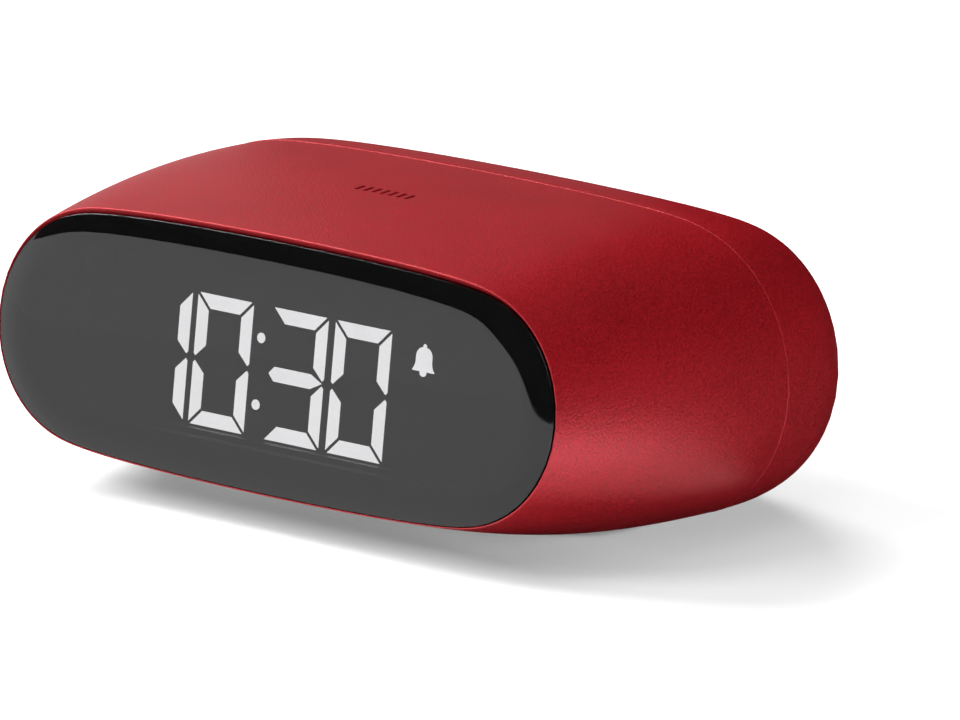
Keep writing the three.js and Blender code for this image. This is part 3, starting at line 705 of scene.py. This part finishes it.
# Half a width, half a height and a corner's radius, as for the shells.
PLATE = (33.5, 14.25, 10.0)
PLATE_THICK = 1.8
DOOR_HOLE = (23.95, 11.2, 2.0)
DOOR = (23.7, 10.95, 1.8)
DOOR_MIDDLE = 33.95
DOOR_THICK = 1.6
SCREWS = {"front": 27.0, "back": 43.5}
SCREW_HEAD_HOLE = dict(radius=2.25, height=1.2)
SCREW_HOLE_RADIUS = 1.25
FOOT_X = 28.6
FOOT_Y = 37.8
FOOT_RADIUS = 3.0
FOOT_SEAT_RADIUS = 3.2
FOOT_DROP = 0.7
FOOT_THICK = 1.3
STRIP = (12.0, 1.4, 1.35)
END_GROOVE = (2.6, 0.22, 0.2)
END_GROOVE_Y = (31.4, 33.0)
GROOVE_DEPTH = 0.25
GRIP = (5.0, 1.5, 1.2)
GRIP_Y = 41.9
# Grip lines on the door, each shorter than the one behind it.
LINES = 5
LINE_START = 38.9
LINE_STEP = 0.9
LINE_HALF_LENGTH = 7.0
# The door's two pegs and its latch.
PEG = (2.0, 0.4, 0.1)
PEG_X = 14
PEG_Y = 23.4
LATCH = (4.0, 0.4, 0.1)
LATCH_Y = 44.5
HOOK_TOP = -16.4
SIDES = (("left", -1), ("right", 1))


def rectangle_outline(half_width, half_height, corner, segments=16):
    def outline(inset):
        return rounded_rectangle(half_width - inset, half_height - inset, corner - inset, segments)
    return outline


def round_outline(radius, segments=64):
    def outline(inset):
        return circle(radius - inset, segments)
    return outline


def make_plate():
    plate = slab("base_cover", rectangle_outline(*PLATE, 24), (0, PLATE_MIDDLE),
                 BASE_Z, BASE_Z + PLATE_THICK, level, soft_start=0.25)
    low = BASE_Z - 1
    through = BASE_Z + 3
    cuts = [prism("hole", rounded_rectangle(*DOOR_HOLE), (0, DOOR_MIDDLE), low, through, level)]
    seat = circle(FOOT_SEAT_RADIUS, 64)
    head = circle(SCREW_HEAD_HOLE["radius"], 48)
    for _, side in SIDES:
        x = side * FOOT_X
        cuts.append(prism("seat", seat, (x, FOOT_Y), low, BASE_Z + SEAT_RISE, level))
        for y in SCREWS.values():
            cuts.append(prism("bore", head, (x, y), low, BASE_Z + SCREW_HEAD_HOLE["height"], level))
            cuts.append(prism("hole", circle(SCREW_HOLE_RADIUS, 32), (x, y), low, through, level))
    # Two shallow grooves at each end of the plate, between the front screw and the foot.
    for _, side in SIDES:
        for y in END_GROOVE_Y:
            groove = rounded_rectangle(*END_GROOVE, 4)
            cuts.append(prism("groove", groove, (side * FOOT_X, y), low, BASE_Z + GROOVE_DEPTH, level))
    carve(plate, cuts)
    smooth(plate)
    dress(plate, BASE, "clock_body", "base_plate")


def make_door():
    door = slab("door_panel", rectangle_outline(*DOOR, 10), (0, DOOR_MIDDLE),
                BASE_Z, BASE_Z + DOOR_THICK, level, soft_start=0.3)
    low = BASE_Z - 1
    cuts = [prism("grip", rounded_rectangle(*GRIP, 8), (0, GRIP_Y), low, BASE_Z + SEAT_RISE, level)]
    for i in range(LINES):
        line = rounded_rectangle(LINE_HALF_LENGTH - LINE_STEP * i, 0.2, 0.18, 4)
        y = LINE_START - LINE_STEP * i
        cuts.append(prism("groove", line, (0, y), low, BASE_Z + GROOVE_DEPTH, level))
    hooks = []
    for outline, x, y in ((PEG, -PEG_X, PEG_Y), (PEG, PEG_X, PEG_Y), (LATCH, 0, LATCH_Y)):
        hooks.append(prism("hook", rounded_rectangle(*outline, 3), (x, y), BASE_Z + 1.0, HOOK_TOP, level))
    carve(door, cuts, added=hooks)
    smooth(door)
    dress(door, BASE, "door", "battery_door")


def make_foot(name, outline, middle, soft, node):
    bottom = BASE_Z - FOOT_DROP
    foot = slab(name, outline, middle, bottom, bottom + FOOT_THICK, level, soft_start=soft)
    smooth(foot, 50)
    dress(foot, RUBBER, "clock_body", node)


def make_feet():
    make_foot("front_strip", rectangle_outline(*STRIP, 12), (0, STRIP_Y), 0.4, "foot_front")
    for word, side in SIDES:
        middle = (side * FOOT_X, FOOT_Y)
        make_foot(f"pad_{word}", round_outline(FOOT_RADIUS), middle, 0.45, f"foot_back_{word}")


def make_base_screw(name, x, y, node):
    """A screw with a domed head below, a cross in it and a plain shank."""
    profile = [(0.3, -20.1), (1.2, -20.08), (1.65, -19.97), (1.9, -19.78), (2.0, -19.5), (2.0, -19.1),
               (0.95, -19.1), (0.95, -10.9), (0.3, -10.2)]
    screw = turned(name, profile, (x, y), level)
    cross = [prism("cut", rounded_rectangle(a, b, 0.1, 3), (x, y), -21.0, -19.55, level)
             for a, b in ((1.15, 0.2), (0.2, 1.15))]
    carve(screw, cross)
    smooth(screw)
    dress(screw, STEEL, "clock_body", node)


def make_base_screws():
    for row, y in SCREWS.items():
        for word, side in SIDES:
            make_base_screw(f"screw_{row}_{word}", side * FOOT_X, y, f"base_screw_{row}_{word}")


make_plate()
make_door()
make_feet()
make_base_screws()


# ------------------------------------------------------------------ cells and their springs

CELL_Z = -13.2
# Each cell's distance behind the opening, and the side of its raised end.
CELLS = {"front": (28.4, -1), "back": (39.5, 1)}
# The flat end lies this far to one side of the clock's middle.
CELL_END = 21.6
SLEEVE_START = 0.5
SLEEVE_STOP = 43.0
SPRING_WIRE = 0.2
SPRING_RADII = (2.2, 3.8)
SPRING_REACH = (21.85, 22.85)
SPRING_TURNS = 2.25
SPRING_STEPS = 90


def make_cell(word, y, nub):
    """A cell in its blue sleeve, with bare ends; nub is the side of its raised end."""
    outline = [(4.6, 0.0), (4.75, 0.05), (4.85, 0.3), (5.1, 0.45), (5.2, 0.6), (5.2, 42.9), (5.1, 43.05),
               (4.7, 43.15), (4.4, 43.3), (1.95, 43.3), (1.9, 43.5), (1.9, 44.2), (1.7, 44.45), (1.0, 44.5)]
    profile = [(radius, -nub * (CELL_END - along)) for radius, along in outline]
    cell = turned(f"cell_{word}", profile, (y, CELL_Z), sideways, 72)
    smooth(cell)
    dress(cell, SLEEVE, "clock_body", f"aaa_cell_{word}")
    cell.data.materials.append(PLATED)
    for face in cell.data.polygons:
        along = nub * face.center.x * 1000 + CELL_END
        if along < SLEEVE_START or along > SLEEVE_STOP:
            face.material_index = 1


def make_spring(word, y, nub):
    """A conical wire spring between a cell's flat end and its contact plate."""
    curve = bpy.data.curves.new(f"spring_{word}", "CURVE")
    curve.dimensions = "3D"
    curve.bevel_depth = SPRING_WIRE / 1000
    curve.bevel_resolution = 4
    spline = curve.splines.new("POLY")
    spline.points.add(SPRING_STEPS)
    for i in range(SPRING_STEPS + 1):
        t = i / SPRING_STEPS
        turn = t * 2 * math.pi * SPRING_TURNS
        radius = mix(*SPRING_RADII, t)
        x = -nub * mix(*SPRING_REACH, t)
        point = place(x, y + radius * math.cos(turn), CELL_Z + radius * math.sin(turn))
        spline.points[i].co = (*point, 1)
    dress(new_object(f"spring_{word}", curve), PLATED, "clock_body", f"contact_spring_{word}")


for cell_word, (cell_y, cell_nub) in CELLS.items():
    make_cell(cell_word, cell_y, cell_nub)
    make_spring(cell_word, cell_y, cell_nub)


# ------------------------------------------------------------------ controls on the back

KEY_RIM_RADIUS = 3.8
KEY_RADIUS = 3.0
KEY_HEIGHT = 1.2
KEY_ROUND = 0.4
# The marks on the keys and the knob's grooves reach down to this height above the hollow's floor.
MARK_FLOOR = 0.9
KEY_MARKS = {
    "set": [circle(0.5, 32)],
    "down": [rounded_rectangle(0.85, 0.17, 0.15, 4)],
    "up": [rounded_rectangle(0.85, 0.17, 0.15, 4), rounded_rectangle(0.17, 0.85, 0.15, 4)],
}
KNOB = (1.6, 1.5, 0.3)
KNOB_X = 16.0
KNOB_GROOVE = (0.2, 3.0, 0.1)
KNOB_GROOVE_STEP = 0.8


def make_keys():
    """Round keys with a rim inside the shell, a dished top and a mark pressed into it."""
    floor = HOLLOW_FLOOR
    for (word, shapes), x in zip(KEY_MARKS.items(), KEY_X):
        profile = [(1.2, floor - 3.2), (1.2, floor - 2.9), (KEY_RIM_RADIUS, floor - 2.9),
                   (KEY_RIM_RADIUS, floor - 2.2), (KEY_RADIUS, floor - 2.2),
                   (KEY_RADIUS, floor + KEY_HEIGHT - KEY_ROUND)]
        for turn in quarter_turns(5)[1:]:
            radius = KEY_RADIUS - KEY_ROUND * (1 - math.cos(turn))
            profile.append((radius, floor + KEY_HEIGHT - KEY_ROUND * (1 - math.sin(turn))))
        profile += [(2.3, floor + 1.17), (1.6, floor + 1.1), (0.8, floor + 1.06), (0.3, floor + 1.05)]
        key = turned(f"button_{word}", profile, (x, HOLLOW_Z), upright, 72)
        low, high = floor + MARK_FLOOR, floor + 3
        carve(key, [prism("mark", shape, (x, HOLLOW_Z), low, high, upright) for shape in shapes])
        smooth(key)
        dress(key, KEY, f"{word}_key", f"key_{word}")


def make_knob():
    floor = HOLLOW_FLOOR
    knob = slab("slide_knob", rectangle_outline(*KNOB, 5), (KNOB_X, HOLLOW_Z),
                floor - 2.9, floor + 1.2, upright, soft_end=0.2)
    grooves = []
    for step in (-KNOB_GROOVE_STEP, 0.0, KNOB_GROOVE_STEP):
        groove = rounded_rectangle(*KNOB_GROOVE, 3)
        middle = (KNOB_X + step, HOLLOW_Z)
        grooves.append(prism("groove", groove, middle, floor + MARK_FLOOR, floor + 3, upright))
    carve(knob, grooves)
    smooth(knob)
    dress(knob, KEY, "alarm_knob", "alarm_switch_knob")


make_keys()
make_knob()


# ------------------------------------------------------------------ figures on the display

GLOW_DEPTH = 5.86
GLOW_THICK = 0.04
FIGURE = dict(width=9.1, height=16.6, bottom=-9.92, stroke=1.85, gap=0.3)
TIP = 0.28
PARTS_LIT = {"0": "abcdef", "1": "bc", "3": "abcdg"}
# Each figure shown, and where its left side is.
FIGURES = (("1", -26.95), ("0", -16.9), ("3", -4.7), ("0", 5.55))
COLON_X = -6.2
COLON_HEIGHTS = (2.53, -5.88)
COLON_RADIUS = 0.65
BELL_X = 20.0
BELL_HEIGHT = 3.3


def segments_of(figure):
    """Outlines of the lit bars of one seven-bar figure, mitred where they meet."""
    w, h, t, g = FIGURE["width"], FIGURE["height"], FIGURE["stroke"], FIGURE["gap"]
    mid = h / 2
    half = t / 2
    shapes = {
        "a": [(g, h), (w - g, h), (w - t - g, h - t), (t + g, h - t)],
        "d": [(g, 0), (t + g, t), (w - t - g, t), (w - g, 0)],
        "g": [(0.15, mid), (t * 0.55, mid + half), (w - t - g, mid + half), (w - g, mid),
              (w - t - g, mid - half), (t * 0.55, mid - half)],
        "f": [(0, mid + g + TIP), (0, h - g), (t, h - t - g), (t, mid + t * 0.8 + g), (TIP, mid + g)],
    }
    shapes["b"] = [(w - px, pz) for px, pz in shapes["f"]]
    shapes["e"] = [(px, h - pz) for px, pz in shapes["f"]]
    shapes["c"] = [(w - px, h - pz) for px, pz in shapes["f"]]
    return [shapes[part] for part in PARTS_LIT[figure]]


def glow_shapes():
    """Everything that glows: the figures, the colon and the bell."""
    shapes = []
    for figure, left in FIGURES:
        for outline in segments_of(figure):
            shapes.append([(left + px, FIGURE["bottom"] + pz) for px, pz in outline])
    for up in COLON_HEIGHTS:
        shapes.append([(COLON_X + px, up + pz) for px, pz in circle(COLON_RADIUS, 32)])
    shapes.append([(BELL_X + px, BELL_HEIGHT + pz) for px, pz in bell_outline()])
    return shapes


def bell_outline():
    """A small bell with a knob on top, a flare and a clapper below, from its right half."""
    turns = [math.pi / 2 * (1 - i / 8) for i in range(9)]
    half = [(0.3 * math.cos(turn), 2.32 + 0.33 * math.sin(turn)) for turn in turns]
    half += [(0.28 + 1.02 * math.cos(turn), 1.0 + 1.2 * math.sin(turn)) for turn in turns]
    half += [(1.3, 0.4), (1.38, 0.0), (1.52, -0.35), (1.78, -0.72), (1.72, -0.8), (0.52, -0.8)]
    half += [(0.55 * math.cos(turn), -0.92 - 0.5 * math.sin(turn)) for turn in reversed(turns)]
    return half + [(-px, pz) for px, pz in reversed(half)]


def flat_piece(name, shapes, depth, thickness):
    """Flat shapes with a little thickness, parallel to the display."""
    bm = bmesh.new()
    for outline in shapes:
        front = [bm.verts.new(face_point(px, depth, pz)) for px, pz in outline]
        back = [bm.verts.new(face_point(px, depth + thickness, pz)) for px, pz in outline]
        bm.faces.new(front)
        bm.faces.new(list(reversed(back)))
        for i in range(len(outline)):
            j = (i + 1) % len(outline)
            bm.faces.new((front[i], back[i], back[j], front[j]))
    bmesh.ops.recalc_face_normals(bm, faces=bm.faces)
    mesh = bpy.data.meshes.new(name)
    bm.to_mesh(mesh)
    bm.free()
    return new_object(name, mesh)


def make_figures():
    figures = flat_piece("display_figures", glow_shapes(), GLOW_DEPTH - GLOW_THICK, GLOW_THICK)
    dress(figures, GLOW, "clock_body")


make_figures()


# ------------------------------------------------------------------ materials of the other parts

NODE_MATERIALS = {
    BLACK: ["display_frame", "mcu_glob_top", "smoothing_capacitor", "battery_tray", "buzzer"],
    TAPE: ["lens_mask_tape", "touch_pad_tape"],
    LCD: ["lcd_glass"],
    WHITE: ["light_guide", "reflector_sheet", "display_led_left", "display_led_right"],
    RUBBER: ["zebra_strip_upper", "zebra_strip_lower"],
    BOARD: ["main_pcb", "key_board"],
    STEEL: ["pcb_screw_left", "pcb_screw_right", "key_board_screw_left", "key_board_screw_right",
            "quartz_crystal", "alarm_switch_body"],
    PLATED: ["contact_plate_positive", "contact_plate_negative", "contact_plate_bridge",
             "key_dome_set", "key_dome_down", "key_dome_up"],
    BRASS: ["touch_electrode", "touch_contact_strip"],
}

for material, names in NODE_MATERIALS.items():
    for name in names:
        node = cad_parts[name]
        node.data.materials.clear()
        node.data.materials.append(material)


# ------------------------------------------------------------------ floor, light and camera

# Half the floor's width, in metres, and how pale it is and how much light it gives off.
FLOOR_SIZE = 4.0
FLOOR_SHADE = 0.8
FLOOR_GLOW = 0.2
# Lights: name, place, what it faces, width and height, in metres, then watts and tint.
TARGET = (0, 0, 0)
PLAIN = (1, 1, 1)
SHOWN_LIGHTS = (
    ("key", (-1.4, -0.5, 1.15), TARGET, (0.8, 0.8), 33, PLAIN),
    ("front_fill", (0.3, -1.6, 0.9), TARGET, (1.0, 0.6), 6, PLAIN),
    ("floor_panel", (0.11, -0.045, 0.001), (0.11, -0.045, 1.0), (0.10, 0.09), 0.033, (0.95, 0.96, 1.2)),
)
# These light the surfaces without showing in them.
SOFT_LIGHTS = (
    ("overhead", (0.0, 0.3, 2.0), TARGET, (1.6, 1.6), 18, PLAIN),
    ("front_soft", (-0.8, -1.4, 1.1), TARGET, (0.8, 0.8), 18, PLAIN),
    ("back_soft", (-1.1, 0.9, 1.0), TARGET, (0.8, 0.6), 22, PLAIN),
    ("right_soft", (1.4, 0.5, 0.3), TARGET, (0.8, 0.3), 8, PLAIN),
)
# How bright the surroundings are as a light.
WORLD_SHADE = 0.06
# The white card, in metres: its turn to the left of the clock's front, its distance, its width,
# how far it reaches to the right, its height and its corners' radius.
CARD_TURN = math.radians(38)
CARD_AWAY = 0.5
CARD_WIDTH = 0.4
CARD_RIGHT = 0.058
CARD_TOP = 0.096
CARD_CORNER = 0.048
CARD_SHADE = 0.1
CARD_GLOW = 1.5
# Cards stand in a ring beside and behind the clock: turn from the front, in degrees, and brightness.
RING_CARDS = (("card_dark", 66, 205, 0.0), ("card_dim", 205, 232, 0.14), ("card_pale", 232, 268, 0.45))
RING_AWAY = 0.13
RING_TOP = 0.2
RING_PANELS = 8
# Cards lie on the floor: their reach across and back, in metres, and brightness.
FLOOR_CARDS = (
    ("card_under", (-0.047, 0.047), (-0.028, 0.036), 0.0),
    ("card_beside", (0.047, 0.125), (0.012, 0.125), 0.0),
    ("card_behind", (-0.06, 0.047), (0.036, 0.125), 0.0),
    ("card_ahead", (-1.6, 0.05), (-1.6, -0.036), 1.6),
)
CARD_LIFT = 0.0004


def make_floor():
    bm = bmesh.new()
    bmesh.ops.create_grid(bm, x_segments=8, y_segments=8, size=FLOOR_SIZE)
    mesh = bpy.data.meshes.new("floor")
    bm.to_mesh(mesh)
    bm.free()
    floor = new_object("floor", mesh)
    material, nodes, links = node_material("pale_floor")
    shader = nodes["Principled BSDF"]
    shader.inputs["Base Color"].default_value = (FLOOR_SHADE, FLOOR_SHADE, FLOOR_SHADE, 1)
    shader.inputs["Roughness"].default_value = 0.9
    shader.inputs["Emission Color"].default_value = (1, 1, 1, 1)
    shader.inputs["Emission Strength"].default_value = FLOOR_GLOW
    shader.inputs["Specular IOR Level"].default_value = 0.1
    floor.data.materials.append(material)


def area_light(name, where, target, size, power, tint):
    data = bpy.data.lights.new(name, "AREA")
    data.shape = "RECTANGLE"
    data.size, data.size_y = size
    data.energy = power
    data.color = tint
    light = new_object(name, data)
    light.location = where
    light.rotation_euler = (Vector(target) - Vector(where)).to_track_quat("-Z", "Y").to_euler()
    light.visible_camera = False
    return light


def make_lights():
    for settings in SHOWN_LIGHTS:
        area_light(*settings)
    for settings in SOFT_LIGHTS:
        area_light(*settings).visible_glossy = False


def make_world():
    """The surroundings are white to look at and dim as a light."""
    world = bpy.data.worlds.new("studio")
    world.use_nodes = True
    nodes, links = world.node_tree.nodes, world.node_tree.links
    dim = nodes["Background"]
    dim.inputs["Color"].default_value = (WORLD_SHADE, WORLD_SHADE, WORLD_SHADE, 1)
    pale = nodes.new("ShaderNodeBackground")
    pale.inputs["Color"].default_value = (1, 1, 1, 1)
    seen = nodes.new("ShaderNodeMixShader")
    links.new(nodes.new("ShaderNodeLightPath").outputs["Is Camera Ray"], seen.inputs["Fac"])
    links.new(dim.outputs["Background"], seen.inputs[1])
    links.new(pale.outputs["Background"], seen.inputs[2])
    links.new(seen.outputs["Shader"], nodes["World Output"].inputs["Surface"])
    bpy.context.scene.world = world


def card_material(name, shade, glow):
    """Matt and evenly bright: shade is its own colour, glow the light it gives off."""
    material, nodes, links = node_material(name)
    shader = nodes["Principled BSDF"]
    shader.inputs["Base Color"].default_value = (shade, shade, shade, 1)
    shader.inputs["Roughness"].default_value = 1.0
    shader.inputs["Specular IOR Level"].default_value = 0.0
    shader.inputs["Emission Color"].default_value = (1, 1, 1, 1)
    shader.inputs["Emission Strength"].default_value = glow
    return material


def studio_card(name, corners, material):
    """A card that only shows in reflections; its corners are in metres."""
    bm = bmesh.new()
    bm.faces.new([bm.verts.new(corner) for corner in corners])
    bmesh.ops.remove_doubles(bm, verts=bm.verts, dist=1e-5)
    mesh = bpy.data.meshes.new(name)
    bm.to_mesh(mesh)
    bm.free()
    card = new_object(name, mesh)
    card.data.materials.append(material)
    card.visible_camera = False
    card.visible_diffuse = False
    card.visible_shadow = False
    card.visible_transmission = False


def make_white_card():
    """A white card in front and to the left, which the window mirrors."""
    toward = Vector((-math.sin(CARD_TURN), -math.cos(CARD_TURN), 0))
    across = Vector((math.cos(CARD_TURN), -math.sin(CARD_TURN), 0))
    corners = []
    for px, pz in rounded_rectangle(CARD_WIDTH / 2, CARD_TOP, CARD_CORNER):
        along = across * (CARD_RIGHT - CARD_WIDTH / 2 + px)
        corners.append(toward * CARD_AWAY + along + Vector((0, 0, max(pz, 0.0))))
    studio_card("card_front", corners, card_material("white_card", CARD_SHADE, CARD_GLOW))


def make_ring_cards():
    for name, first, last, glow in RING_CARDS:
        material = card_material(name, 0.0, glow)
        turns = [math.radians(mix(first, last, i / RING_PANELS)) for i in range(RING_PANELS + 1)]
        foot = [(RING_AWAY * math.sin(turn), -RING_AWAY * math.cos(turn)) for turn in turns]
        for i, ((x0, y0), (x1, y1)) in enumerate(zip(foot, foot[1:])):
            panel = [(x0, y0, 0), (x1, y1, 0), (x1, y1, RING_TOP), (x0, y0, RING_TOP)]
            studio_card(f"{name}_{i}", panel, material)


def make_floor_cards():
    for name, (x0, x1), (y0, y1), glow in FLOOR_CARDS:
        flat = [(x0, y0, CARD_LIFT), (x1, y0, CARD_LIFT), (x1, y1, CARD_LIFT), (x0, y1, CARD_LIFT)]
        studio_card(name, flat, card_material(name, 0.0, glow))


# The camera's place, as the clock is drawn, its turn to the right and up, and its lens.
CAMERA_FROM = Vector((925.8, -1073.3, 365.3))
CAMERA_AZIMUTH = math.radians(39.743)
CAMERA_ELEVATION = math.radians(14.414)
SENSOR_WIDTH = 36.0
FOCAL_LENGTH = 444.54


def make_camera():
    data = bpy.data.cameras.new("camera")
    data.sensor_width = SENSOR_WIDTH
    data.lens = FOCAL_LENGTH
    data.clip_start = 0.05
    data.clip_end = 50.0
    camera = new_object("camera", data)
    right = Vector((math.cos(CAMERA_AZIMUTH), math.sin(CAMERA_AZIMUTH), 0))
    back = Vector((
        math.sin(CAMERA_AZIMUTH) * math.cos(CAMERA_ELEVATION),
        -math.cos(CAMERA_AZIMUTH) * math.cos(CAMERA_ELEVATION),
        math.sin(CAMERA_ELEVATION),
    ))
    up = back.cross(right)
    turn = Matrix((right, up, back)).transposed().to_4x4()
    camera.matrix_world = Matrix.Translation(place(*CAMERA_FROM)) @ turn
    bpy.context.scene.camera = camera


make_floor()
make_lights()
make_world()
make_white_card()
make_ring_cards()
make_floor_cards()
make_camera()

scene = bpy.context.scene
scene.view_settings.view_transform = "Standard"
scene.view_settings.look = "None"
